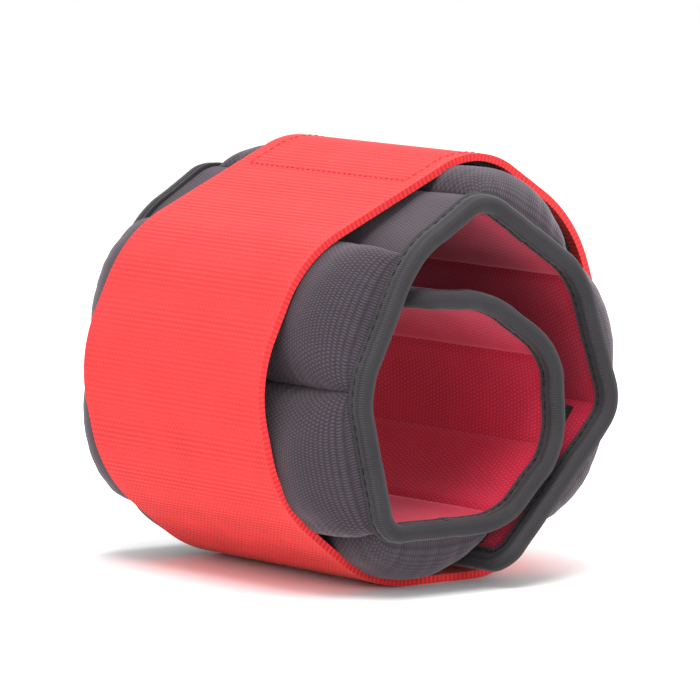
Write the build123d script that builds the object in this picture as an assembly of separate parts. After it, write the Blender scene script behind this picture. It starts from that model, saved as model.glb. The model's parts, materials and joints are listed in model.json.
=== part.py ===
from build123d import *
import os
from math import atan2, cos, degrees, hypot, radians, sin, tan

# Wrap-on ankle cuff weight, lying on its side: a chain of weighted pockets and soft panels that curls
# round the ankle, a tongue inside the curl, and one elastic strap wound over the outside.
# Millimetres and degrees. Y runs along the ankle, the chain curls in the XZ plane, +Z is up.

# ---- driving dimensions ----
CUFF_WIDTH = 140.0          # rim to rim, along the ankle
POCKET_PITCH = 43.0         # one weighted pocket, seam to seam
FLEX_LENGTH = 31.0          # the flat panel without a weight
TONGUE_PITCH = 29.0         # one section of the tongue
FLAP_MARGIN = 19.5          # flat edge beyond the first pocket
COVER_T = 1.5               # outer fabric
LINING_T = 2.3              # soft padded lining
BINDING_T = 0.9             # edge tape
BINDING_REACH = 6.0         # how far the tape comes in over the panel
END_RADIUS = 9.0            # rounded corners of the flap's and the tongue's ends
POCKET_RISE = 17.0          # bulge of a filled pocket above its seam plane
POCKET_MARGIN = 1.6         # seam allowance beside the bulge
POCKET_END_GAP = 1.5        # seam allowance between the bulge and the edge tape
SHOULDER_R = 13.0           # round shoulders of the bulge
FOOT_RISE = 1.5             # upright foot of the bulge
POUCH_T = 0.8               # film pouch that holds the fill
STRAP_WIDTH = 88.0
STRAP_T = 2.2
HOOK_T = 1.3                # hook patch, backing and hooks
TAB_PATCH_INSET = 4.0       # strap edge left bare round the tab's hook patch
TAB_OVERHANG = 6.0          # tab past the second pocket's lower seam
TAB_CHAMFER_ALONG = 23.0
TAB_CHAMFER_ACROSS = 17.0
BRIDGE_PATCH = 32.0         # length of hook patch on the section that bridges the flat panel
ANCHOR_PAST_CREST = 6.0     # the strap's sewn end, beyond the first pocket's crest
FLAP_PATCH_WIDTH = 110.0    # along the ankle
FLAP_PATCH_GAP = 1.0        # between the edge tape and the flap's hook patch
FLAP_PATCH_SEAM_GAP = 2.5   # between the patch and the first pocket's upper seam
SOFT_GAP = 0.3              # running clearance between pieces that move apart
INNER_GAP = 0.1             # pouch in its pocket, fill in its pouch

# Direction of travel of each section round the curl at rest, seen from the near rim
HEADINGS = {
    "pocket_1": 47, "pocket_2": 108, "pocket_3": 146, "flex": 211,
    "pocket_4": 244, "pocket_5": 283, "pocket_6": 360,
    "tongue_1": 405, "tongue_2": 453, "tongue_3": 505, "tongue_4": 536,
}

# ---- sizes that follow ----
SECTIONS = list(HEADINGS)
POCKETS = [name for name in SECTIONS if name.startswith("pocket")]
TONGUES = [name for name in SECTIONS if name.startswith("tongue")]
STRAP = ["strap_anchor", "strap_1", "strap_2", "strap_3", "strap_4", "strap_5", "strap_6", "strap_tab"]
SEAM_GAP = SOFT_GAP / 2
STACK_IN = LINING_T + BINDING_T
STACK_OUT = COVER_T + BINDING_T
BULGE_HALF_U = POCKET_PITCH / 2 - POCKET_MARGIN
BULGE_HALF_Y = CUFF_WIDTH / 2 - BINDING_REACH - POCKET_END_GAP
STRAP_SEAT = POCKET_RISE + SOFT_GAP
REACH = 4 * POCKET_PITCH    # larger than any section, for trimming blocks


def section_length(name):
    if name == "pocket_1":
        return FLAP_MARGIN + POCKET_PITCH
    if name == "flex":
        return FLEX_LENGTH
    return POCKET_PITCH if name in POCKETS else TONGUE_PITCH


def bulge_centre(name):
    """Distance from a section's start to the middle of its bulge."""
    return (FLAP_MARGIN if name == "pocket_1" else 0.0) + POCKET_PITCH / 2


def direction(heading):
    return Vector(cos(radians(heading)), 0, sin(radians(heading)))


def outward(heading):
    return Vector(sin(radians(heading)), 0, -cos(radians(heading)))


def chain_starts():
    """Start point of every section, with the sixth pocket's at the zero point."""
    starts = {"pocket_6": Vector(0, 0, 0)}
    root = SECTIONS.index("pocket_6")
    for name in reversed(SECTIONS[:root]):
        after = SECTIONS[SECTIONS.index(name) + 1]
        starts[name] = starts[after] - direction(HEADINGS[name]) * section_length(name)
    for name in SECTIONS[root + 1:]:
        before = SECTIONS[SECTIONS.index(name) - 1]
        starts[name] = starts[before] + direction(HEADINGS[before]) * section_length(before)
    return starts


STARTS = chain_starts()


def at(name, u, w):
    """Point u along a section and w outward from its seam plane."""
    return STARTS[name] + direction(HEADINGS[name]) * u + outward(HEADINGS[name]) * w


def fold(name):
    """Turn at the seam where a section starts."""
    index = SECTIONS.index(name)
    return HEADINGS[name] - HEADINGS[SECTIONS[index - 1]] if index else 0.0


def place(name, shape):
    """Move a shape made flat, with its outside up, to its section of the curl."""
    heading = HEADINGS[name]
    seat = Plane(origin=STARTS[name], x_dir=direction(heading), z_dir=outward(heading))
    return seat * shape


def slab(points, half_width):
    """Prism along Y on an outline given as (x, z) pairs."""
    face = Plane.XZ * make_face(Polyline(*points, close=True))
    return extrude(face, amount=half_width, both=True)


def trim(name):
    """What a section may fill: square ends outside, mitred ends inside the curl."""
    index = SECTIONS.index(name)
    length = section_length(name)
    first, last = index == 0, index == len(SECTIONS) - 1
    low = -REACH if first else SEAM_GAP
    high = length + REACH if last else length - SEAM_GAP
    lean_low = 0.0 if first else tan(radians(fold(name) / 2)) * STACK_IN * 2
    lean_high = 0.0 if last else tan(radians(fold(SECTIONS[index + 1]) / 2)) * STACK_IN * 2
    return slab([(low, 0), (low + lean_low, -2 * STACK_IN), (high - lean_high, -2 * STACK_IN),
                 (high, 0), (high, REACH), (low, REACH)], CUFF_WIDTH)


def plan(name, inset, bottom, top):
    """Flat block on a section's outline, drawn in from its free edges by inset."""
    length = section_length(name)
    half = CUFF_WIDTH / 2 - inset
    free_low, free_high = name == SECTIONS[0], name == SECTIONS[-1]
    low = inset if free_low else -POCKET_PITCH
    high = length - inset if free_high else length + POCKET_PITCH
    block = Pos((low + high) / 2, 0, (bottom + top) / 2) * Box(high - low, 2 * half, top - bottom)
    radius = END_RADIUS - inset
    if (free_low or free_high) and radius > 0:
        ends = block.edges().filter_by(Axis.Z).sort_by(Axis.X)
        block = fillet(ends[:2] if free_low else ends[-2:], radius)
    return block


def arch(half, rise, shoulder, foot):
    """Face in XZ: upright feet, round shoulders and a crowned top, all tangent."""
    arm = half - shoulder
    lift = rise - foot
    crown = (arm ** 2 + lift ** 2 - shoulder ** 2) / (2 * (lift - shoulder))
    low = rise - crown
    reach = hypot(arm, foot - low)
    tangent = Vector(arm / reach * crown, low + (foot - low) / reach * crown)
    middle = radians(degrees(atan2(foot - low, arm)) / 2)
    knuckle = Vector(arm + shoulder * cos(middle), foot + shoulder * sin(middle))
    outline = [
        Line((-half, 0), (half, 0)),
        Line((half, 0), (half, foot)),
        ThreePointArc((half, foot), (knuckle.X, knuckle.Y), (tangent.X, tangent.Y)),
        ThreePointArc((tangent.X, tangent.Y), (0, rise), (-tangent.X, tangent.Y)),
        ThreePointArc((-tangent.X, tangent.Y), (-knuckle.X, knuckle.Y), (-half, foot)),
        Line((-half, foot), (-half, 0)),
    ]
    return make_face(outline)


def bulge(inset, floor=0.0):
    """Pillow shape of a filled pocket, drawn in by inset and cut off at floor."""
    size = (POCKET_RISE - inset, SHOULDER_R - inset, FOOT_RISE)
    across = extrude(Plane.XZ * arch(BULGE_HALF_U - inset, *size), amount=CUFF_WIDTH, both=True)
    along = extrude(Plane.YZ * arch(BULGE_HALF_Y - inset, *size), amount=CUFF_WIDTH, both=True)
    pillow = across & along
    if floor > 0:
        pillow = pillow & Pos(0, 0, floor + REACH / 2) * Box(REACH, REACH, REACH)
    return pillow


def cover(name):
    flat = plan(name, BINDING_T, 0, COVER_T) & trim(name)
    if name not in POCKETS:
        return place(name, flat)
    seat = Pos(bulge_centre(name), 0, 0)
    return place(name, (flat + seat * bulge(0)) - seat * bulge(COVER_T))


def lining(name):
    return place(name, plan(name, BINDING_T, -LINING_T, 0) & trim(name))


def binding(name):
    """U-shaped tape on the free edges: outside leg, edge and inside leg in one."""
    tape = plan(name, 0, -STACK_IN, STACK_OUT) - plan(name, BINDING_REACH, -STACK_IN, STACK_OUT)
    tape = tape - plan(name, BINDING_T, -LINING_T, COVER_T)
    return place(name, tape & trim(name))


def pouch(name):
    outer = COVER_T + INNER_GAP
    film = bulge(outer) - bulge(outer + POUCH_T, POUCH_T)
    return place(name, Pos(bulge_centre(name), 0, 0) * film)


def fill(name):
    inset = COVER_T + POUCH_T + 2 * INNER_GAP
    return place(name, Pos(bulge_centre(name), 0, 0) * bulge(inset, POUCH_T + INNER_GAP))


def flap_hook_patch():
    low = BINDING_REACH + FLAP_PATCH_GAP
    high = section_length("pocket_1") - FLAP_PATCH_SEAM_GAP
    patch = Pos((low + high) / 2, 0, -LINING_T - HOOK_T / 2)
    return place("pocket_1", patch * Box(high - low, FLAP_PATCH_WIDTH, HOOK_T))


def shoulder_point(name, side):
    """Centre of a bulge's round shoulder, on the start (-1) or end (1) side."""
    return at(name, bulge_centre(name) + side * (BULGE_HALF_U - SHOULDER_R), FOOT_RISE)


def bridge(before, after, clearance):
    """Line that rests on the facing shoulders of two pockets, as (point, heading)."""
    near, far = shoulder_point(before, 1), shoulder_point(after, -1)
    heading = degrees(atan2(far.Z - near.Z, far.X - near.X)) % 360
    return near + outward(heading) * (SHOULDER_R + clearance), heading


def strap_lines():
    """Inner face of each strap section, as (point, heading)."""
    tabbed = STRAP_SEAT + HOOK_T
    return {
        "strap_anchor": (at("pocket_1", 0, STRAP_SEAT), HEADINGS["pocket_1"]),
        "strap_1": (at("pocket_6", 0, STRAP_SEAT), HEADINGS["pocket_6"]),
        "strap_2": bridge("pocket_5", "pocket_6", SOFT_GAP),
        "strap_3": (at("pocket_5", 0, STRAP_SEAT), HEADINGS["pocket_5"]),
        "strap_4": (at("pocket_4", 0, STRAP_SEAT), HEADINGS["pocket_4"]),
        "strap_5": bridge("pocket_3", "pocket_4", SOFT_GAP + HOOK_T),
        "strap_6": (at("pocket_3", 0, tabbed), HEADINGS["pocket_3"]),
        "strap_tab": (at("pocket_2", 0, tabbed), HEADINGS["pocket_2"]),
    }


STRAP_LINES = strap_lines()


def crossing(first, second, rise):
    """Where two strap sections meet, rise above their inner faces."""
    (p, g), (q, h) = STRAP_LINES[first], STRAP_LINES[second]
    p, q = p + outward(g) * rise, q + outward(h) * rise
    d, e = direction(g), direction(h)
    gap = q - p
    return p + d * ((gap.X * e.Z - gap.Z * e.X) / (d.X * e.Z - d.Z * e.X))


def strap_fold(name):
    """Turn at the crease where a strap section starts."""
    before = STRAP[STRAP.index(name) - 1]
    return (STRAP_LINES[before][1] - STRAP_LINES[name][1]) % 360


def strap_crease(name):
    """Hinge point where a strap section starts, on the strap's outer face."""
    return crossing(STRAP[STRAP.index(name) - 1], name, STRAP_T)


def strap_end(name, forward, rise):
    """Corner of a strap section at its start (False) or end (True), rise above its inner face."""
    heading = STRAP_LINES[name][1]
    step = direction(heading) * SEAM_GAP
    index = STRAP.index(name)
    if forward and index < len(STRAP) - 1:
        return crossing(name, STRAP[index + 1], rise) + step
    if not forward and index > 0:
        return crossing(STRAP[index - 1], name, rise) - step
    if forward:
        return at("pocket_2", -TAB_OVERHANG, STRAP_SEAT + HOOK_T + rise)
    return at("pocket_1", bulge_centre("pocket_1") + ANCHOR_PAST_CREST, STRAP_SEAT + rise)


def strap_slab(name, low, high, half_width, start_cut=0.0, end_cut=0.0):
    """Band of a strap section between two heights, shortened at either end."""
    along = direction(STRAP_LINES[name][1])
    corners = [strap_end(name, False, low) - along * start_cut, strap_end(name, True, low) + along * end_cut,
               strap_end(name, True, high) + along * end_cut, strap_end(name, False, high) - along * start_cut]
    return slab([(c.X, c.Z) for c in corners], half_width)


def tab_outline(inset):
    """Block with the tab's chamfered tip, drawn in by inset."""
    half = STRAP_WIDTH / 2 - inset
    tip = -TAB_OVERHANG + inset
    shoulder = tip + TAB_CHAMFER_ALONG
    flat = half - TAB_CHAMFER_ACROSS
    points = [(tip, -flat), (shoulder, -half), (REACH, -half), (REACH, half), (shoulder, half), (tip, flat)]
    block = extrude(make_face(Polyline(*points, close=True)), amount=REACH)
    return place("pocket_2", block)


def strap_section(name):
    section = strap_slab(name, 0, STRAP_T, STRAP_WIDTH / 2)
    return section & tab_outline(0) if name == "strap_tab" else section


def tab_hook_patch(name):
    """Hook patch sewn under a strap section of the tab."""
    half = STRAP_WIDTH / 2 - TAB_PATCH_INSET
    start_cut = 0.0
    if name == "strap_5":
        full = strap_end(name, True, 0) - strap_end(name, False, 0)
        start_cut = full.length - BRIDGE_PATCH
    patch = strap_slab(name, -HOOK_T, 0, half, start_cut)
    return patch & tab_outline(TAB_PATCH_INSET) if name == "strap_tab" else patch


def build():
    """Every piece by name, in the chain's own frame."""
    pieces = {}
    for name in SECTIONS:
        pieces[name + "_cover"] = cover(name)
        pieces[name + "_lining"] = lining(name)
        pieces[name + "_binding"] = binding(name)
    for name in POCKETS:
        pieces[name + "_pouch"] = pouch(name)
        pieces[name + "_fill"] = fill(name)
    pieces["flap_hook_patch"] = flap_hook_patch()
    for name in STRAP:
        pieces[name] = strap_section(name)
    for number, name in enumerate(["strap_5", "strap_6", "strap_tab"], start=1):
        pieces[f"tab_hook_patch_{number}"] = tab_hook_patch(name)
    return pieces


def base_point(pieces):
    """Middle of the underside of everything, which becomes the origin."""
    boxes = [piece.bounding_box() for piece in pieces.values()]
    low_x, high_x = min(box.min.X for box in boxes), max(box.max.X for box in boxes)
    return Vector((low_x + high_x) / 2, 0, min(box.min.Z for box in boxes))


PIECES = build()
BASE = base_point(PIECES)

os.makedirs("parts", exist_ok=True)
for node, piece in PIECES.items():
    export_step(Pos(-BASE.X, -BASE.Y, -BASE.Z) * piece, f"parts/{node}.step")
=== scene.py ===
import json
import math

import bmesh
import bpy
import numpy as np
from mathutils import Matrix, Vector, noise


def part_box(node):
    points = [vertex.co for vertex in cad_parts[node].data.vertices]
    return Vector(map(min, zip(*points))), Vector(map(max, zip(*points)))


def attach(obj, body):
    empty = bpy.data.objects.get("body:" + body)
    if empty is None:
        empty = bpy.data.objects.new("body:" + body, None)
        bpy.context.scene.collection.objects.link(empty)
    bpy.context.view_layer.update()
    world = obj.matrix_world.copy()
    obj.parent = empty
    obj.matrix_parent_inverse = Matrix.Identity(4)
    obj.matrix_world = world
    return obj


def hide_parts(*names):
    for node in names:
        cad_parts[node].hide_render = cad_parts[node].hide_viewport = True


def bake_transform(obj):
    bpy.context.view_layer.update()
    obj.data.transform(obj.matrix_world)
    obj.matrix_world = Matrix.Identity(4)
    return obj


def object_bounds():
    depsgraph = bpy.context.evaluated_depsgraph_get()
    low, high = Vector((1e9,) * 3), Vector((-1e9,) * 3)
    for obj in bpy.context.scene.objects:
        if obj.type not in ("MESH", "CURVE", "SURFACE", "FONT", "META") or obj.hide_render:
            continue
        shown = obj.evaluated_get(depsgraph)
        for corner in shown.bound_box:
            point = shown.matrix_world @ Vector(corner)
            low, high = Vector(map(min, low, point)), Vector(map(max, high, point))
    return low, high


bl_info = {
    "name": "Ankle cuff weight",
    "version": (1, 0, 0),
    "blender": (4, 5, 0),
    "location": "View3D > Sidebar > Cuff",
    "description": "Sews a wrap-on ankle cuff weight round its frame of hinged sections",
    "category": "Object",
}

MM = 0.001

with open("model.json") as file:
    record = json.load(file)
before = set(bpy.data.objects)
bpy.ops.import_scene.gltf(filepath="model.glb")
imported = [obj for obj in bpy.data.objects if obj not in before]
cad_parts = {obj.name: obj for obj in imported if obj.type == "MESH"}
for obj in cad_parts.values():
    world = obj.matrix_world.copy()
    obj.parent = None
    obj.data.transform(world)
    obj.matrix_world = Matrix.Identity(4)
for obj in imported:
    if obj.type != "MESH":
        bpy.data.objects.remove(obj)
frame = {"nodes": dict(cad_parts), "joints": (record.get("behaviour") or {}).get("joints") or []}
JOINTS = {joint["name"]: joint for joint in frame["joints"]}
CAD_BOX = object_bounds()

# The curl's sections in order from the flap's end to the tongue's end, and the hinge after each
SECTIONS = ["pocket_1", "pocket_2", "pocket_3", "flex", "pocket_4", "pocket_5", "pocket_6",
            "tongue_1", "tongue_2", "tongue_3", "tongue_4"]
SEAMS = ["curl_1", "curl_2", "curl_3", "curl_flex", "curl_4", "curl_5",
         "curl_tongue_1", "curl_tongue_2", "curl_tongue_3", "curl_tongue_4"]
POCKETS = [name for name in SECTIONS if name.startswith("pocket")]
# The strap's bodies in order from the first pocket, and the crease before each
STRAP = ["pocket_1", "strap_1", "strap_2", "strap_3", "strap_4", "strap_5", "strap_6", "strap_tab"]
CREASES = ["unwind_1", "unwind_2", "unwind_3", "unwind_4", "unwind_5", "unwind_6", "tab_peel"]


def length_of(name, text, value, low=0.0):
    """A length property with its default in metres."""
    return bpy.props.FloatProperty(name=name, description=text, default=value, min=low,
                                   precision=5, subtype="DISTANCE", unit="LENGTH")


def colour_of(name, text, value):
    return bpy.props.FloatVectorProperty(name=name, description=text, default=value, size=3,
                                         min=0.0, max=1.0, subtype="COLOR")


class CuffSizes(bpy.types.PropertyGroup):
    """Sizes that a maker of the cuff would change."""
    half_width: length_of("Half width", "From the middle to a rim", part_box("pocket_6_binding")[1][1])
    flap_length: length_of("Flap length", "From the flap's end to the first seam", 62.5 * MM)
    flap_margin: length_of("Flap margin", "Flat edge beyond the first pocket", 19.5 * MM)
    open_share: bpy.props.FloatProperty(name="Open share", default=0.6, min=0.1, max=1.0,
                                        description="Share of the curl that the hinges let out")
    seam_rounding: length_of("Seam rounding", "Reach of the bend beside a seam", 9.0 * MM)
    cover: length_of("Cover", "Thickness of the outer fabric", 1.5 * MM)
    lining: length_of("Lining", "Thickness of the padded lining", 2.3 * MM)
    tape: length_of("Tape", "Thickness of the edge tape", 0.9 * MM)
    tape_reach: length_of("Tape reach", "How far the edge tape comes in", 6.0 * MM)
    corner: length_of("Corner", "Radius of the flap's and tongue's corners", 9.0 * MM)
    rise: length_of("Rise", "Height of a filled pocket", 17.0 * MM)
    strap_half: length_of("Half strap", "Half the strap's width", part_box("strap_1")[1][1])
    strap: length_of("Strap", "Thickness of the strap", 2.2 * MM)
    strap_rounding: length_of("Strap rounding", "Reach of the bend beside a crease", 14.5 * MM)
    hook: length_of("Hook tape", "Thickness of a hook patch", 1.3 * MM)
    rib: length_of("Rib", "Distance between the strap's ribs", 1.75 * MM)
    stitch: length_of("Stitch", "Distance between stitches", 3.3 * MM)


class CuffColours(bpy.types.PropertyGroup):
    """Colours of the fabrics, linear."""
    cover: colour_of("Cover", "Outer fabric", (0.040, 0.032, 0.040))
    tape: colour_of("Tape", "Edge tape", (0.030, 0.028, 0.031))
    lining: colour_of("Lining", "Soft lining", (0.56, 0.006, 0.040))
    strap: colour_of("Strap", "Elastic strap", (0.86, 0.036, 0.040))
    hooks: colour_of("Hooks", "Hook tape", (0.014, 0.013, 0.015))
    thread: colour_of("Thread", "Sewing thread", (0.010, 0.010, 0.012))


def sizes():
    return bpy.context.scene.cuff_sizes


def colours():
    return bpy.context.scene.cuff_colours


# ---------------------------------------------------------------- routes

def joint_point(name):
    x, _, z = JOINTS[name]["pos_m"]
    return np.array([x, z])


def turned(heading):
    return np.array([math.cos(heading), math.sin(heading)])


class Route:
    """A run of straight lengths with rounded corners in the XZ plane, measured from its start.
    side is -1 where the outside is on the right of the way, 1 where it is on the left."""

    def __init__(self, corners, rounding, side):
        self.corners = np.array(corners)
        steps = np.diff(self.corners, axis=0)
        lengths = np.hypot(steps[:, 0], steps[:, 1])
        self.marks = np.concatenate([[0.0], np.cumsum(lengths)])
        self.headings = np.unwrap(np.arctan2(steps[:, 1], steps[:, 0]))
        room = 0.46 * np.minimum(lengths[:-1], lengths[1:])
        # a tight corner is cut by two millimetres at most, so that the hinge stays at the seam
        cut = 2 * MM / np.tan(np.abs(np.diff(self.headings)) / 4)
        self.rounding = np.minimum(np.minimum(rounding, room), cut if side < 0 else room)
        self.side = side

    def point(self, along, out=0.0):
        xz = self.place(np.array([along]), np.array([out]))[0]
        return Vector((xz[0], 0.0, xz[1]))

    def middle(self, index):
        return (self.marks[index] + self.marks[index + 1]) / 2

    def place(self, along, out):
        """Points at the given distances along the route and out from it."""
        index = np.clip(np.searchsorted(self.marks, along) - 1, 0, len(self.headings) - 1)
        heading = self.headings[index]
        gone = along - self.marks[index]
        way = np.stack([np.cos(heading), np.sin(heading)], 1)
        spot = self.corners[index] + way * gone[:, None]
        for corner in range(1, len(self.headings)):
            reach = self.rounding[corner - 1]
            turn = self.headings[corner] - self.headings[corner - 1]
            offset = along - self.marks[corner]
            near = np.abs(offset) < reach
            if not near.any() or abs(turn) < 1e-6:
                continue
            share = (offset[near] + reach) / (2 * reach)
            radius = reach / math.tan(abs(turn) / 2)
            into = turned(self.headings[corner - 1])
            across = turned(self.headings[corner - 1] + math.copysign(math.pi / 2, turn))
            angle = share * abs(turn)
            spot[near] = (self.corners[corner] - into * reach + np.outer(np.sin(angle), into) * radius
                          + np.outer(1 - np.cos(angle), across) * radius)
            heading[near] = self.headings[corner - 1] + share * turn
        facing = heading + self.side * math.pi / 2
        return spot + np.stack([np.cos(facing), np.sin(facing)], 1) * out[:, None]


def curl_route():
    """The cuff body's seam line from the flap's end to the tongue's end."""
    s = sizes()
    seams = [joint_point(name) for name in SEAMS]

    def bend(name):
        return math.radians(JOINTS[name]["range_deg"][1]) / s.open_share

    def heading(a, b):
        return math.atan2(b[1] - a[1], b[0] - a[0])

    first = heading(seams[0], seams[1]) - bend(SEAMS[0])
    last = heading(seams[-2], seams[-1]) + bend(SEAMS[-1])
    pitch = np.linalg.norm(seams[-1] - seams[-2])
    ends = [seams[0] - turned(first) * s.flap_length], [seams[-1] + turned(last) * pitch]
    return Route(ends[0] + seams + ends[1], s.seam_rounding, -1)


def strap_route():
    """The strap's outer face from its sewn end to the tab's tip."""
    s = sizes()
    creases = [joint_point(name) for name in CREASES]
    body = curl_route()
    low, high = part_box("strap_anchor")
    start_way = turned(body.headings[0])
    start = creases[0] + start_way * ((high[0] - creases[0][0]) / start_way[0])
    low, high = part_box("strap_tab")
    end_way = -turned(body.headings[1])
    end = creases[-1] + end_way * ((low[2] - creases[-1][1]) / end_way[1])
    return Route([start] + creases + [end], s.strap_rounding, 1)


def bend_mesh(bm, route, low_out=0.0):
    """Curls a flat pattern: X becomes the way along the route, Z the height out from it."""
    flat = np.array([v.co for v in bm.verts])
    spots = route.place(flat[:, 0], flat[:, 2] + low_out)
    for vert, spot in zip(bm.verts, spots):
        vert.co.x, vert.co.z = spot


# ---------------------------------------------------------------- pattern helpers

def grid(low, high, cell, height=0.0):
    """Flat rectangle from low to high, in square cells of about the given size."""
    bm = bmesh.new()
    span = Vector(high) - Vector(low)
    middle = (Vector(high) + Vector(low)) / 2
    cells = cell if isinstance(cell, tuple) else (cell, cell)
    counts = [max(1, round(span[i] / cells[i])) for i in range(2)]
    spread = Matrix.Translation((middle.x, middle.y, height)) @ Matrix.Diagonal((span.x, span.y, 1, 1))
    bmesh.ops.create_grid(bm, x_segments=counts[0], y_segments=counts[1], size=0.5, matrix=spread)
    return bm


def pattern_uv(bm, spin=False):
    """Writes the flat pattern's own coordinates, in metres, as the piece's UV map."""
    layer = bm.loops.layers.uv.verify()
    for face in bm.faces:
        for loop in face.loops:
            x, y, _ = loop.vert.co
            loop[layer].uv = (y, x) if spin else (x, y)


def thicken(bm, depth):
    """Gives a sheet its thickness downwards."""
    for face in bm.faces:
        if face.normal.z < 0:
            face.normal_flip()
    bmesh.ops.solidify(bm, geom=bm.faces[:], thickness=depth)


def finished(bm, name, material, smooth=True):
    """Turns a finished bmesh into a shown piece."""
    bmesh.ops.recalc_face_normals(bm, faces=bm.faces[:])
    mesh = bpy.data.meshes.new(name)
    bm.to_mesh(mesh)
    bm.free()
    for polygon in mesh.polygons:
        polygon.use_smooth = smooth
    piece = bpy.data.objects.new(name, mesh)
    bpy.context.scene.collection.objects.link(piece)
    mesh.materials.append(material)
    return piece


def crisp(piece, angle=40):
    """Keeps edges sharper than the angle crisp in the shading."""
    bm = bmesh.new()
    bm.from_mesh(piece.data)
    limit = math.radians(angle)
    for edge in bm.edges:
        edge.smooth = not (len(edge.link_faces) == 2 and edge.calc_face_angle(0.0) > limit)
    bm.to_mesh(piece.data)
    bm.free()


def add_modifier(piece, kind, **values):
    modifier = piece.modifiers.new(kind.title(), kind)
    for key, value in values.items():
        setattr(modifier, key, value)
    return modifier


def across_seam(piece, index, route, reach):
    """Bakes a piece's placement into its mesh; the piece is not bent between the two bodies that meet at the route's
    corner.
    """
    mark = route.marks[index + 1]
    start, end = route.point(mark - reach), route.point(mark + reach)
    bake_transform(piece)


# ---------------------------------------------------------------- materials

def new_group(name, inputs, output_kind="NodeSocketFloat"):
    """An empty shader node group with number inputs, one vector input and one output."""
    group = bpy.data.node_groups.new(name, "ShaderNodeTree")
    group.interface.new_socket("Vector", in_out="INPUT", socket_type="NodeSocketVector")
    for key, value in inputs.items():
        socket = group.interface.new_socket(key, in_out="INPUT", socket_type="NodeSocketFloat")
        socket.default_value = value
    group.interface.new_socket("Value", in_out="OUTPUT", socket_type=output_kind)
    return group, group.nodes.new("NodeGroupInput"), group.nodes.new("NodeGroupOutput")


def linked(tree, kind, inputs=None, **settings):
    """A node with its settings made and its inputs set or linked."""
    node = tree.nodes.new(kind)
    for key, value in settings.items():
        setattr(node, key, value)
    for key, value in (inputs or {}).items():
        if isinstance(value, bpy.types.NodeSocket):
            tree.links.new(value, node.inputs[key])
        else:
            node.inputs[key].default_value = value
    return node


def knit_group():
    """Rows of small loops: Value is the yarn's height, 0 to 1."""
    group = bpy.data.node_groups.get("Knit rows")
    if group:
        return group
    group, start, end = new_group("Knit rows", {"Loops": 900.0, "Rows": 700.0, "Sway": 0.25})
    xyz = linked(group, "ShaderNodeSeparateXYZ", {0: start.outputs["Vector"]})
    row = linked(group, "ShaderNodeMath", {0: xyz.outputs["Y"], 1: start.outputs["Rows"]}, operation="MULTIPLY")
    sway = linked(group, "ShaderNodeMath", {0: row.outputs[0], 1: math.pi}, operation="MULTIPLY")
    swing = linked(group, "ShaderNodeMath", {0: sway.outputs[0]}, operation="SINE")
    swung = linked(group, "ShaderNodeMath", {0: swing.outputs[0], 1: start.outputs["Sway"]}, operation="MULTIPLY")
    loop = linked(group, "ShaderNodeMath", {0: xyz.outputs["X"], 1: start.outputs["Loops"], 2: swung.outputs[0]},
                  operation="MULTIPLY_ADD")
    turn = linked(group, "ShaderNodeMath", {0: loop.outputs[0], 1: 2 * math.pi}, operation="MULTIPLY")
    wave = linked(group, "ShaderNodeMath", {0: turn.outputs[0]}, operation="SINE")
    column = linked(group, "ShaderNodeMath", {0: wave.outputs[0], 1: 0.5, 2: 0.5}, operation="MULTIPLY_ADD")
    pulse = linked(group, "ShaderNodeMath", {0: swing.outputs[0]}, operation="ABSOLUTE")
    height = linked(group, "ShaderNodeMath", {0: column.outputs[0], 1: pulse.outputs[0]}, operation="MULTIPLY")
    group.links.new(height.outputs[0], end.inputs["Value"])
    return group


def mottle_group():
    """Soft blotches of wear and dye with fine fibre noise on top: Value is about 0 to 1."""
    group = bpy.data.node_groups.get("Fibre mottle")
    if group:
        return group
    group, start, end = new_group("Fibre mottle", {"Blotch": 60.0, "Fibre": 2600.0, "Share": 0.5})
    blotch = linked(group, "ShaderNodeTexNoise",
                    {"Vector": start.outputs["Vector"], "Scale": start.outputs["Blotch"], "Detail": 3.0})
    fibre = linked(group, "ShaderNodeTexNoise",
                   {"Vector": start.outputs["Vector"], "Scale": start.outputs["Fibre"], "Detail": 2.0})
    mix = linked(group, "ShaderNodeMix",
                 {0: start.outputs["Share"], 2: blotch.outputs["Fac"], 3: fibre.outputs["Fac"]}, data_type="FLOAT")
    group.links.new(mix.outputs[0], end.inputs["Value"])
    return group


def grouped(tree, group, vector, **values):
    node = linked(tree, "ShaderNodeGroup", node_tree=group)
    tree.links.new(vector, node.inputs["Vector"])
    for key, value in values.items():
        node.inputs[key].default_value = value
    return node.outputs["Value"]


def ramp(tree, value, stops):
    """Colour ramp through (position, colour) stops."""
    node = linked(tree, "ShaderNodeValToRGB", {"Fac": value})
    elements = node.color_ramp.elements
    while len(elements) < len(stops):
        elements.new(0.5)
    for element, (place, shade) in zip(elements, stops):
        element.position, element.color = place, (*shade, 1.0)
    return node.outputs["Color"]


def shaded(colour, factor):
    return tuple(min(1.0, c * factor) for c in colour)


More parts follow.
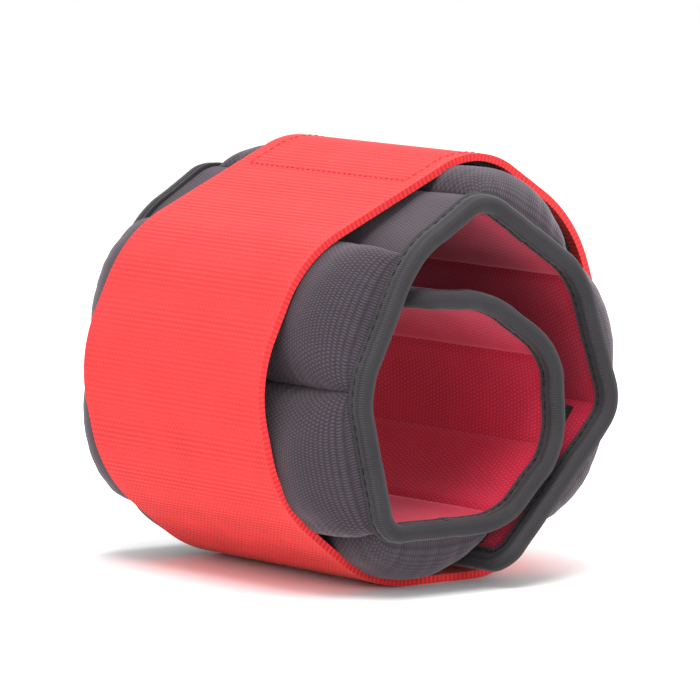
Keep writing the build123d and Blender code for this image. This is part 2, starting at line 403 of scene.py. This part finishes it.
def fabric(name, colour, knit, mottle, contrast, roughness, sheen, bump, use_uv=True):
    """A knitted or brushed fabric: knit and mottle are the two groups' values."""
    material = bpy.data.materials.get(name)
    if material:
        return material
    material = bpy.data.materials.new(name)
    material.use_nodes = True
    tree = material.node_tree
    bsdf = tree.nodes["Principled BSDF"]
    place = tree.nodes.new("ShaderNodeTexCoord")
    flat = place.outputs["UV"] if use_uv else place.outputs["Object"]
    rows = grouped(tree, knit_group(), flat, **knit)
    spots = grouped(tree, mottle_group(), place.outputs["Object"], **mottle)
    both = linked(tree, "ShaderNodeMix", {0: 0.5, 2: rows, 3: spots}, data_type="FLOAT")
    low, high = contrast
    tint = ramp(tree, both.outputs[0], [(0.2, shaded(colour, low)), (0.8, shaded(colour, high))])
    tree.links.new(tint, bsdf.inputs["Base Color"])
    rough = linked(tree, "ShaderNodeMapRange", {"Value": both.outputs[0], "To Min": roughness + 0.06,
                                                "To Max": roughness - 0.06})
    tree.links.new(rough.outputs[0], bsdf.inputs["Roughness"])
    relief = linked(tree, "ShaderNodeBump", {"Height": both.outputs[0], "Strength": bump,
                                             "Distance": 0.25 * MM})
    tree.links.new(relief.outputs[0], bsdf.inputs["Normal"])
    bsdf.inputs["Sheen Weight"].default_value = sheen[0]
    bsdf.inputs["Sheen Roughness"].default_value = sheen[1]
    bsdf.inputs["Sheen Tint"].default_value = (*sheen[2], 1.0)
    bsdf.inputs["Specular IOR Level"].default_value = 0.25
    return material


def cover_fabric():
    return fabric("Charcoal knit", colours().cover, {"Loops": 1150.0, "Rows": 900.0, "Sway": 0.3},
                  {"Blotch": 45.0, "Fibre": 2200.0, "Share": 0.62}, (0.55, 1.75), 0.86,
                  (0.30, 0.45, (0.75, 0.65, 0.72)), 0.7)


def tape_fabric():
    return fabric("Edge tape", colours().tape, {"Loops": 1400.0, "Rows": 500.0, "Sway": 0.1},
                  {"Blotch": 80.0, "Fibre": 2600.0, "Share": 0.5}, (0.6, 1.6), 0.8,
                  (0.22, 0.4, (0.8, 0.75, 0.78)), 0.6)


def lining_fabric():
    return fabric("Crimson lining", colours().lining, {"Loops": 800.0, "Rows": 620.0, "Sway": 0.35},
                  {"Blotch": 55.0, "Fibre": 1700.0, "Share": 0.55}, (0.62, 1.3), 0.88,
                  (0.45, 0.5, (1.0, 0.35, 0.45)), 0.6)


def strap_fabric():
    return fabric("Red elastic", colours().strap, {"Loops": 640.0, "Rows": 1150.0, "Sway": 0.45},
                  {"Blotch": 70.0, "Fibre": 2200.0, "Share": 0.45}, (0.62, 1.2), 0.78,
                  (0.25, 0.4, (1.0, 0.5, 0.4)), 0.75)


def hook_fabric():
    return fabric("Hook tape", colours().hooks, {"Loops": 620.0, "Rows": 620.0, "Sway": 0.0},
                  {"Blotch": 90.0, "Fibre": 1500.0, "Share": 0.7}, (0.4, 2.6), 0.6,
                  (0.1, 0.4, (0.8, 0.8, 0.8)), 1.0)


def thread_material(name="Black thread", colour=None):
    return fabric(name, colour or colours().thread, {"Loops": 3000.0, "Rows": 3000.0, "Sway": 0.0},
                  {"Blotch": 200.0, "Fibre": 4000.0, "Share": 0.5}, (0.7, 1.9), 0.55,
                  (0.1, 0.4, (0.9, 0.9, 0.9)), 0.4, use_uv=False)


# ---------------------------------------------------------------- pockets

POCKET_CELL = 1.25 * MM


def pillow_height(across, along, half_across, half_along, rise):
    """Height of a filled pocket over its middle: round across, flat-topped along with round ends."""
    u = min(1.0, abs(across) / half_across)
    v = max(0.0, abs(along) - (half_along - 17 * MM)) / (17 * MM)
    v = min(1.0, v)
    return rise * (1 - u ** 2.3) ** 0.62 * (1 - v ** 2.2) ** 0.6


def gathers(away, along, seed):
    """Depth, 0 to 1, of the small folds that run in from a sewn edge, at a distance from it."""
    phase = along / (6.5 * MM) + 1.3 * noise.noise(Vector((along * 70, seed * 3.1, 0.0)))
    sharp = (1 - abs(math.sin(math.pi * phase))) ** 2
    strength = 0.7 + 0.6 * noise.noise(Vector((along * 110, seed * 5.3, 2.0)))
    return sharp * strength * math.exp(-away / (6 * MM)) * min(1.0, away / (1.2 * MM))


def pocket_pattern(low, high, seed, s):
    """One filled pocket's fabric: bulged, gathered at its sewn edges and lumpy with shot."""
    half_along = s.half_width - s.tape_reach + 0.6 * MM
    spill = 0.8 * MM
    low, high = low - spill, high + spill
    bm = grid((low, -half_along), (high, half_along), POCKET_CELL)
    pattern_uv(bm)
    middle, half = (low + high) / 2, (high - low) / 2
    for vert in bm.verts:
        x, y = vert.co.x, vert.co.y
        vert.co.z = s.cover * 0.45 + pillow_height(x - middle, y, half, half_along, s.rise - 1.2 * MM)
    bm.normal_update()
    for vert in bm.verts:
        if vert.is_boundary:
            continue
        x, y = vert.co.x, vert.co.y
        depth = 1.1 * MM * gathers(half_along - abs(y), x, seed + (7 if y > 0 else 0))
        depth += 0.6 * MM * gathers(half - abs(x - middle), y, seed + (13 if x > middle else 20))
        depth += 0.5 * MM * noise.noise(Vector((x * 75, y * 75, seed * 0.7)))
        vert.co -= vert.normal * depth
        ceiling = s.rise - (0.4 * MM if abs(y) < s.strap_half + 2 * MM else 0.0)
        vert.co.z = min(vert.co.z, ceiling)
    return bm


class CUFF_OT_pockets(bpy.types.Operator):
    """Sew the six weighted pockets"""
    bl_idname = "cuff.pockets"
    bl_label = "Weighted pockets"

    def execute(self, context):
        s = sizes()
        route = curl_route()
        for number, name in enumerate(POCKETS):
            index = SECTIONS.index(name)
            low = route.marks[index] + (s.flap_margin if index == 0 else 0.0)
            bm = pocket_pattern(low, route.marks[index + 1], number, s)
            crease = bm.edges.layers.float.new("crease_edge")
            border = [e for e in bm.edges if e.is_boundary]
            for edge in border:
                edge[crease] = 1.0
            bmesh.ops.holes_fill(bm, edges=border, sides=0)
            bend_mesh(bm, route)
            piece = finished(bm, name + "_skin", cover_fabric())
            add_modifier(piece, "SUBSURF", levels=1, render_levels=1)
            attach(piece, name)
            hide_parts(name + "_cover")
        self.seams(route, s)
        return {"FINISHED"}

    def seams(self, route, s):
        """The outer fabric's own strip along each pocket seam, which the pillows meet on."""
        half = s.half_width - s.tape_reach
        for index in range(len(POCKETS)):
            mark = route.marks[index + 1]
            bm = grid((mark - 6 * MM, -half), (mark + 6 * MM, half), (1.0 * MM, 4.0 * MM), 0.5 * MM)
            pattern_uv(bm)
            thicken(bm, 0.5 * MM)
            bend_mesh(bm, route)
            piece = finished(bm, f"seam_strip_{index + 1}", cover_fabric())
            crisp(piece)
            across_seam(piece, index, route, 6 * MM)


# ---------------------------------------------------------------- flat panels and lining

def halves(route, index, first, last):
    """From the middle of the section before a seam to the middle of the one after it."""
    low = 0.0 if index == first else route.middle(index)
    high = route.marks[-1] if index == last else route.middle(index + 1)
    return low, high


def rounded_end(bm, edge_at, half, radius, towards):
    """Draws the two corners of a flat pattern's end in to a radius."""
    for vert in bm.verts:
        depth = (vert.co.x - edge_at) * towards
        if depth < radius:
            room = half - radius + math.sqrt(max(0.0, radius ** 2 - (radius - depth) ** 2))
            if abs(vert.co.y) > half - radius:
                share = (abs(vert.co.y) - (half - radius)) / radius
                vert.co.y = math.copysign(half - radius + share * (room - half + radius), vert.co.y)


def soft_sheet(low, high, half, cell, height, depth, ends, corner, ripple=0.0):
    """A flat slab of fabric with its own thickness, its open ends' corners rounded."""
    bm = grid((low, -half), (high, half), cell, height)
    pattern_uv(bm)
    start, end = ends
    if start:
        rounded_end(bm, low, half, corner, 1)
    if end:
        rounded_end(bm, high, half, corner, -1)
    for vert in bm.verts:
        vert.co.z += noise.noise(vert.co * 45) * ripple
    thicken(bm, depth)
    return bm


class CUFF_OT_lining(bpy.types.Operator):
    """Lay the crimson lining inside the curl, seam by seam"""
    bl_idname = "cuff.lining"
    bl_label = "Lining"

    def execute(self, context):
        s = sizes()
        route = curl_route()
        last = len(SEAMS) - 1
        half = s.half_width - s.tape
        for index in range(len(SEAMS)):
            low, high = halves(route, index, 0, last)
            ends = (index == 0, index == last)
            start = low + s.tape if ends[0] else low
            stop = high - s.tape if ends[1] else high
            bm = soft_sheet(start, stop, half, (1.2 * MM, 3.0 * MM), -0.05 * MM, s.lining, ends,
                            s.corner - s.tape)
            self.quilt(bm, route, index)
            bend_mesh(bm, route)
            piece = finished(bm, f"lining_{index + 1}", lining_fabric())
            crisp(piece)
            across_seam(piece, index, route, 9 * MM)
            nodes = [SECTIONS[index] + "_lining"] + ([SECTIONS[-1] + "_lining"] if ends[1] else [])
            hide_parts(*nodes)
        return {"FINISHED"}

    def quilt(self, bm, route, index):
        """Pulls the lining in along the seam's stitching and lets it swell beside it."""
        mark = route.marks[index + 1]
        s = sizes()
        for vert in bm.verts:
            rim = min(s.half_width - abs(vert.co.y), vert.co.x, route.marks[-1] - vert.co.x)
            free = min(1.0, max(0.0, (rim - s.tape_reach) / (2 * MM)))
            if vert.co.z > -s.lining * 0.5 or free == 0:
                continue
            off = abs(vert.co.x - mark)
            pull = 0.9 * math.exp(-(off / (1.3 * MM)) ** 2) - 0.35 * math.exp(-((off - 6 * MM) / (4 * MM)) ** 2)
            vert.co.z += MM * free * (pull + 0.25 * noise.noise(vert.co * 60))


class CUFF_OT_flat_panels(bpy.types.Operator):
    """Cut the flat outer fabric of the flap margin, the flex panel and the tongue"""
    bl_idname = "cuff.flat_panels"
    bl_label = "Flat panels"

    def execute(self, context):
        s = sizes()
        route = curl_route()
        half = s.half_width - s.tape
        cell = (1.2 * MM, 3.0 * MM)
        flap = soft_sheet(s.tape, s.flap_margin + 0.8 * MM, half, cell, s.cover, s.cover, (True, False),
                          s.corner - s.tape, 0.3 * MM)
        self.lay(flap, route, "flap_margin_skin", "pocket_1")
        at = SECTIONS.index("flex")
        flex = soft_sheet(route.marks[at], route.marks[at + 1], half, cell, s.cover, s.cover, (False, False),
                          s.corner, 0.5 * MM)
        piece = self.lay(flex, route, "flex_skin", "flex")
        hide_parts("flex_cover")
        first = SECTIONS.index("tongue_1")
        for index in range(first, len(SEAMS)):
            low, high = halves(route, index, -1, len(SEAMS) - 1)
            low = route.marks[first] if index == first else low
            end = index == len(SEAMS) - 1
            bm = soft_sheet(low, high - (s.tape if end else 0), half, cell, s.cover, s.cover, (False, end),
                            s.corner - s.tape, 0.35 * MM)
            bend_mesh(bm, route)
            piece = finished(bm, f"tongue_skin_{index - first + 1}", cover_fabric())
            crisp(piece)
            across_seam(piece, index, route, 8 * MM)
            nodes = [SECTIONS[index] + "_cover"] + ([SECTIONS[-1] + "_cover"] if end else [])
            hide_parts(*nodes)
        return {"FINISHED"}

    def lay(self, bm, route, name, body):
        bend_mesh(bm, route)
        piece = finished(bm, name, cover_fabric())
        crisp(piece)
        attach(piece, body)
        return piece


# ---------------------------------------------------------------- edge tape

def tape_profile(s):
    """Cross-section of the folded tape, as (in from the rim, height) points, outside leg first."""
    top, bottom = s.cover, -s.lining
    reach = s.tape_reach
    outer = [(reach, top - 0.5 * MM), (reach + 0.05 * MM, top + 0.75 * MM), (reach - 0.25 * MM, top + 1.1 * MM),
             (reach - 0.75 * MM, top + 1.05 * MM), (reach - 1.05 * MM, top + 0.6 * MM),
             (reach - 1.75 * MM, top + 0.55 * MM), (reach - 2.2 * MM, top + 0.85 * MM),
             (reach - 3.3 * MM, top + 0.9 * MM), (reach - 4.6 * MM, top + 0.6 * MM),
             (0.35 * MM, top - 0.1 * MM), (0.0, (top + bottom) / 2), (0.3 * MM, bottom + 0.1 * MM)]
    inner = [(1.4 * MM, bottom - 0.6 * MM), (reach - 3.2 * MM, bottom - 0.85 * MM),
             (reach - 2.2 * MM, bottom - 0.75 * MM), (reach - 1.7 * MM, bottom - 0.45 * MM),
             (reach - 1.1 * MM, bottom - 0.5 * MM), (reach - 0.7 * MM, bottom - 0.9 * MM),
             (reach - 0.2 * MM, bottom - 0.85 * MM), (reach, bottom - 0.1 * MM), (reach, bottom + 0.4 * MM)]
    return outer + inner


def swept(points, length, steps):
    """A cross-section of (Y, Z) points drawn along X, its outline closed and its ends capped."""
    bm = bmesh.new()
    ring = [bm.verts.new((0, y, z)) for y, z in points]
    face = bm.faces.new(ring)
    bmesh.ops.spin(bm, geom=[face], axis=(0, 0, 1), cent=(0, 0, 0), dvec=(length / steps, 0, 0),
                   angle=0.0, steps=steps, use_duplicate=False)
    return bm


class Edge:
    """The line a tape follows on the flat pattern: straight runs and round corners, as (x, y, inward)."""

    def __init__(self, runs):
        self.runs = runs
        self.length = sum(run[-1] for run in runs)

    def place(self, along, into):
        """Point at a distance along the edge and in from it."""
        left = along
        for kind, start, way, turn, length in self.runs:
            if left <= length or (kind, start) == self.runs[-1][:2]:
                break
            left -= length
        start = Vector(start)
        if kind == "straight":
            ahead = Vector((math.cos(way), math.sin(way)))
            inward = Vector((-ahead.y, ahead.x)) * turn
            return start + ahead * left + inward * into
        # a quarter bend: start is its centre, way the direction from the centre to its first point
        radius = length / (math.pi / 2)
        angle = way + turn * left / radius
        return start + Vector((math.cos(angle), math.sin(angle))) * (radius - into)


def rim_edges(route, index, s):
    """The edges that one seam's tape follows."""
    last = len(SEAMS) - 1
    low, high = halves(route, index, 0, last)
    half, radius = s.half_width, s.corner
    bend = radius * math.pi / 2
    if 0 < index < last:
        return [Edge([("straight", (low, -half), 0.0, 1, high - low)]),
                Edge([("straight", (low, half), 0.0, -1, high - low)])]
    if index == 0:
        run = high - radius
        return [Edge([
            ("straight", (high, half), math.pi, 1, run),
            ("bend", (radius, half - radius), math.pi / 2, 1, bend),
            ("straight", (0, half - radius), -math.pi / 2, 1, 2 * (half - radius)),
            ("bend", (radius, radius - half), math.pi, 1, bend),
            ("straight", (radius, -half), 0.0, 1, run)])]
    run = high - radius - low
    return [Edge([
        ("straight", (low, -half), 0.0, 1, run),
        ("bend", (high - radius, radius - half), -math.pi / 2, 1, bend),
        ("straight", (high, radius - half), math.pi / 2, 1, 2 * (half - radius)),
        ("bend", (high - radius, half - radius), 0.0, 1, bend),
        ("straight", (high - radius, half), math.pi, 1, run)])]


def lay_on_edge(bm, edge, ripple=0.0):
    """Moves a tape made along X onto its edge of the flat pattern."""
    for vert in bm.verts:
        along, into, height = vert.co
        spot = edge.place(along, into)
        wave = noise.noise(Vector((along * 130, into * 40, edge.length * 50))) * ripple
        vert.co = (spot.x, spot.y, height + (wave if abs(height) > 0.5 * MM else 0.0))


def merged(meshes):
    """One bmesh from several, which are freed."""
    whole = bmesh.new()
    for bm in meshes:
        scrap = bpy.data.meshes.new("scrap")
        bm.to_mesh(scrap)
        bm.free()
        whole.from_mesh(scrap)
        bpy.data.meshes.remove(scrap)
    return whole


class CUFF_OT_edge_tape(bpy.types.Operator):
    """Fold the stretch tape over both rims and round the ends"""
    bl_idname = "cuff.edge_tape"
    bl_label = "Edge tape"

    def execute(self, context):
        s = sizes()
        route = curl_route()
        last = len(SEAMS) - 1
        for index in range(len(SEAMS)):
            runs = []
            for edge in rim_edges(route, index, s):
                steps = round(edge.length / (0.9 * MM))
                bm = swept(tape_profile(s), edge.length, steps)
                pattern_uv(bm)
                lay_on_edge(bm, edge, 0.28 * MM)
                runs.append(bm)
            bm = merged(runs)
            bend_mesh(bm, route)
            piece = finished(bm, f"edge_tape_{index + 1}", tape_fabric())
            crisp(piece, 70)
            across_seam(piece, index, route, 8 * MM)
            nodes = [SECTIONS[index] + "_binding"] + ([SECTIONS[-1] + "_binding"] if index == last else [])
            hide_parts(*nodes)
        return {"FINISHED"}


# ---------------------------------------------------------------- strap and hook patches

def tab_shape(bm, tip, half, inset):
    """Cuts the tab's two corners off a strap pattern that ends at tip."""
    along, across = 23 * MM - inset * 0.3, 17 * MM - inset * 0.3
    for side in (1, -1):
        corner = Vector((tip, side * (half - across), 0))
        normal = Vector((across, side * along, 0)).normalized()
        geom = bm.verts[:] + bm.edges[:] + bm.faces[:]
        bmesh.ops.bisect_plane(bm, geom=geom, plane_co=corner, plane_no=normal, clear_outer=True, dist=1e-7)


def ribbed(bm, s, top):
    """Raises the strap's ribs, which run across it."""
    for vert in bm.verts:
        wave = math.cos(2 * math.pi * vert.co.x / s.rib)
        side = 1 if vert.co.z > top - s.strap / 2 else -1
        fade = min(1.0, (s.strap_half - abs(vert.co.y)) / (1.2 * MM))
        vert.co.z += side * (0.13 * MM * wave - 0.13 * MM) * max(0.0, fade)


def strap_spans(route):
    """For each crease, the stretch of strap from mid-section to mid-section."""
    count = len(CREASES)
    return [(0.0 if i == 0 else route.middle(i), route.marks[-1] if i == count - 1 else route.middle(i + 1))
            for i in range(count)]


class CUFF_OT_strap(bpy.types.Operator):
    """Wind the ribbed elastic strap round the pockets"""
    bl_idname = "cuff.strap"
    bl_label = "Elastic strap"

    def execute(self, context):
        s = sizes()
        route = strap_route()
        spans = strap_spans(route)
        for index, (low, high) in enumerate(spans):
            quarter = s.rib / 4
            low_cut, high_cut = round(low / s.rib) * s.rib, round(high / s.rib) * s.rib
            if index == 0:
                low_cut = 0.0
            if index == len(spans) - 1:
                high_cut = high
            bm = grid((low_cut, -s.strap_half), (high_cut, s.strap_half), (quarter, 3.4 * MM))
            if index == len(spans) - 1:
                tab_shape(bm, high, s.strap_half, 0.0)
            pattern_uv(bm)
            thicken(bm, s.strap)
            ribbed(bm, s, 0.0)
            bend_mesh(bm, route)
            piece = finished(bm, f"strap_band_{index + 1}", strap_fabric())
            crisp(piece, 60)
            across_seam(piece, index, route, s.strap_rounding)
            nodes = ["strap_anchor"] if index == 0 else []
            nodes += [STRAP[index + 1]]
            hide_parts(*nodes)
        return {"FINISHED"}


class CUFF_OT_hook_patches(bpy.types.Operator):
    """Sew the hook patches under the tab and on the flap's lining"""
    bl_idname = "cuff.hook_patches"
    bl_label = "Hook patches"

    def execute(self, context):
        s = sizes()
        self.tab(s)
        self.flap(s)
        return {"FINISHED"}

    def tab(self, s):
        route = strap_route()
        half = s.strap_half - 4 * MM
        tip = route.marks[-1] - 4 * MM
        middle = route.middle(len(CREASES) - 1)
        start = tip - 124 * MM
        last = len(CREASES) - 1
        for index, low, high in ((last - 1, start, middle), (last, middle, tip)):
            bm = grid((low, -half), (high, half), (1.5 * MM, 3.0 * MM), -s.strap + 0.25 * MM)
            if index == last:
                tab_shape(bm, tip, half, 4 * MM)
            pattern_uv(bm)
            thicken(bm, s.hook)
            bend_mesh(bm, route)
            piece = finished(bm, f"tab_hooks_{index - last + 2}", hook_fabric())
            crisp(piece)
            across_seam(piece, index, route, s.strap_rounding)
            nodes = ["tab_hook_patch_3"] if index == last else ["tab_hook_patch_1", "tab_hook_patch_2"]
            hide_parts(*nodes)

    def flap(self, s):
        route = curl_route()
        low = s.tape_reach + 1 * MM
        high = s.flap_length - 3.2 * MM
        bm = grid((low, -55 * MM), (high, 55 * MM), (1.5 * MM, 3.0 * MM), -s.lining - 0.1 * MM)
        pattern_uv(bm)
        thicken(bm, s.hook - 0.2 * MM)
        bend_mesh(bm, route)
        piece = finished(bm, "flap_hooks", hook_fabric())
        crisp(piece)
        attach(piece, "pocket_1")
        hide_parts("flap_hook_patch")


# ---------------------------------------------------------------- stitching

def stitch(bm, spot, way, long, wide, high):
    """One thread stitch lying along a direction on the flat pattern."""
    turn = Matrix.Rotation(math.atan2(way[1], way[0]), 4, "Z")
    shape = Matrix.Diagonal((long / 2, wide / 2, high, 1))
    bmesh.ops.create_icosphere(bm, subdivisions=1, radius=1.0, matrix=Matrix.Translation(spot) @ turn @ shape)


def stitched_line(bm, start, end, height, pitch, gauge=0.55 * MM):
    """A row of stitches between two points of the flat pattern."""
    start, end = Vector(start), Vector(end)
    run = (end - start).length
    count = max(1, round(run / pitch))
    way = (end - start) / run
    for i in range(count):
        spot = start + way * ((i + 0.5) * run / count)
        stitch(bm, (spot.x, spot.y, height), way, run / count * 0.74, gauge, 0.3 * MM)


class CUFF_OT_stitching(bpy.types.Operator):
    """Sew every stitch that shows"""
    bl_idname = "cuff.stitching"
    bl_label = "Stitching"

    def execute(self, context):
        s = sizes()
        self.tape_rows(s)
        self.strap_rows(s)
        return {"FINISHED"}

    def tape_rows(self, s):
        """The row beside the tape's lip, outside and inside, on both rims and round the ends."""
        route = curl_route()
        into = s.tape_reach - 1.4 * MM
        heights = (s.cover + 0.62 * MM, -s.lining - 0.55 * MM)
        for index in range(len(SEAMS)):
            bm = bmesh.new()
            for edge in rim_edges(route, index, s):
                count = round(edge.length / s.stitch)
                for i in range(count):
                    along = (i + 0.5) * edge.length / count
                    spot, ahead = edge.place(along, into), edge.place(along + 0.2 * MM, into)
                    way = ahead - spot if (ahead - spot).length > 1e-7 else spot - edge.place(along - 0.2 * MM, into)
                    for height in heights:
                        stitch(bm, (spot.x, spot.y, height), way, s.stitch * 0.72, 0.6 * MM, 0.32 * MM)
            bend_mesh(bm, route)
            piece = finished(bm, f"tape_stitches_{index + 1}", thread_material())
            across_seam(piece, index, route, 8 * MM)

    def strap_rows(self, s):
        """The box of stitches round the tab's hook patch."""
        route = strap_route()
        tip = route.marks[-1] - 4 * MM - 1.5 * MM
        half = s.strap_half - 5.5 * MM
        start = tip - 121 * MM
        last = len(CREASES) - 1
        middle = route.middle(last)
        along, across = 22 * MM, 16 * MM
        lines = {
            last - 1: [((start, -half), (start, half)), ((start, half), (middle, half)),
                       ((start, -half), (middle, -half))],
            last: [((middle, side * half), (tip - along, side * half)) for side in (1, -1)]
            + [((tip - along, side * half), (tip, side * (half - across))) for side in (1, -1)]
            + [((tip, half - across), (tip, across - half))],
        }
        for index, rows in lines.items():
            bm = bmesh.new()
            for low, high in rows:
                stitched_line(bm, low, high, 0.0, 2.6 * MM, 0.5 * MM)
            bend_mesh(bm, route)
            red = thread_material("Red thread", shaded(colours().strap, 0.75))
            piece = finished(bm, f"tab_stitches_{index - last + 2}", red)
            across_seam(piece, index, route, s.strap_rounding)


# ---------------------------------------------------------------- stage

def stage_material():
    material = bpy.data.materials.new("Studio floor")
    material.use_nodes = True
    bsdf = material.node_tree.nodes["Principled BSDF"]
    bsdf.inputs["Base Color"].default_value = (0.96, 0.96, 0.96, 1)
    bsdf.inputs["Roughness"].default_value = 0.7
    return material


def softbox(name, spot, aim, size, power, colour=(1, 1, 1)):
    lamp = bpy.data.lights.new(name, "AREA")
    lamp.shape, lamp.size, lamp.energy, lamp.color = "DISK", size, power, colour
    piece = bpy.data.objects.new(name, lamp)
    bpy.context.scene.collection.objects.link(piece)
    piece.location = spot
    piece.rotation_mode = "QUATERNION"
    piece.rotation_quaternion = (Vector(aim) - Vector(spot)).to_track_quat("-Z", "Y")
    return piece


class CUFF_OT_stage(bpy.types.Operator):
    """Set up the floor, the lights and the camera"""
    bl_idname = "cuff.stage"
    bl_label = "Stage"

    def execute(self, context):
        low, high = CAD_BOX
        aim = (low + high) / 2
        bm = bmesh.new()
        bmesh.ops.create_grid(bm, x_segments=1, y_segments=1, size=6.0)
        mesh = bpy.data.meshes.new("studio_floor")
        bm.to_mesh(mesh)
        bm.free()
        floor = bpy.data.objects.new("studio_floor", mesh)
        context.scene.collection.objects.link(floor)
        floor.location.z = low.z - 0.05 * MM
        mesh.materials.append(stage_material())
        self.lights(aim)
        self.camera(context, aim)
        return {"FINISHED"}

    def lights(self, aim):
        world = bpy.data.worlds.new("Studio")
        bpy.context.scene.world = world
        world.use_nodes = True
        world.node_tree.nodes["Background"].inputs["Color"].default_value = (1, 1, 1, 1)
        world.node_tree.nodes["Background"].inputs["Strength"].default_value = 0.95
        bpy.context.scene.view_settings.view_transform = "Standard"
        softbox("Key", aim + Vector((-0.5, -0.55, 1.5)), aim, 0.9, 22)
        softbox("Top", aim + Vector((0.45, 0.25, 1.6)), aim, 1.1, 16)
        softbox("Front", aim + Vector((-0.2, -1.7, 0.5)), aim, 0.8, 7)

    def camera(self, context, aim):
        azimuth, elevation, distance = math.radians(-37.0), math.radians(6.5), 2.0
        back = Vector((math.sin(azimuth) * math.cos(elevation), -math.cos(azimuth) * math.cos(elevation),
                       math.sin(elevation)))
        data = bpy.data.cameras.new("Camera")
        data.lens, data.sensor_width = 345.0, 36.0
        camera = bpy.data.objects.new("Camera", data)
        context.scene.collection.objects.link(camera)
        camera.location = aim + back * distance
        camera.rotation_mode = "QUATERNION"
        camera.rotation_quaternion = (-back).to_track_quat("-Z", "Y")
        data.clip_start, data.clip_end = 0.05, 20.0
        context.scene.camera = camera


# ---------------------------------------------------------------- add-on

class CUFF_PT_panel(bpy.types.Panel):
    """The cuff's sizes, colours and steps"""
    bl_idname = "CUFF_PT_panel"
    bl_label = "Ankle cuff weight"
    bl_space_type = "VIEW_3D"
    bl_region_type = "UI"
    bl_category = "Cuff"

    def draw(self, context):
        layout = self.layout
        for group in (context.scene.cuff_sizes, context.scene.cuff_colours):
            for key in group.bl_rna.properties.keys():
                if key not in ("rna_type", "name"):
                    layout.prop(group, key)
        for step in STEPS:
            layout.operator(step.bl_idname)


STEPS = (CUFF_OT_stage, CUFF_OT_pockets, CUFF_OT_lining, CUFF_OT_flat_panels, CUFF_OT_edge_tape,
         CUFF_OT_strap, CUFF_OT_hook_patches, CUFF_OT_stitching)
CLASSES = (CuffSizes, CuffColours) + STEPS + (CUFF_PT_panel,)


def register():
    for cls in CLASSES:
        bpy.utils.register_class(cls)
    bpy.types.Scene.cuff_sizes = bpy.props.PointerProperty(type=CuffSizes)
    bpy.types.Scene.cuff_colours = bpy.props.PointerProperty(type=CuffColours)


def unregister():
    del bpy.types.Scene.cuff_sizes
    del bpy.types.Scene.cuff_colours
    for cls in reversed(CLASSES):
        bpy.utils.unregister_class(cls)


def paint_frame():
    """Gives the CAD pieces that still show their own fabrics."""
    for name, node in frame["nodes"].items():
        if name.endswith(("_pouch", "_fill")):
            node.data.materials.clear()
            node.data.materials.append(hook_fabric())


def main():
    register()
    for step in STEPS:
        group, action = step.bl_idname.split(".")
        getattr(getattr(bpy.ops, group), action)()
    paint_frame()


if __name__ == "__main__":
    main()
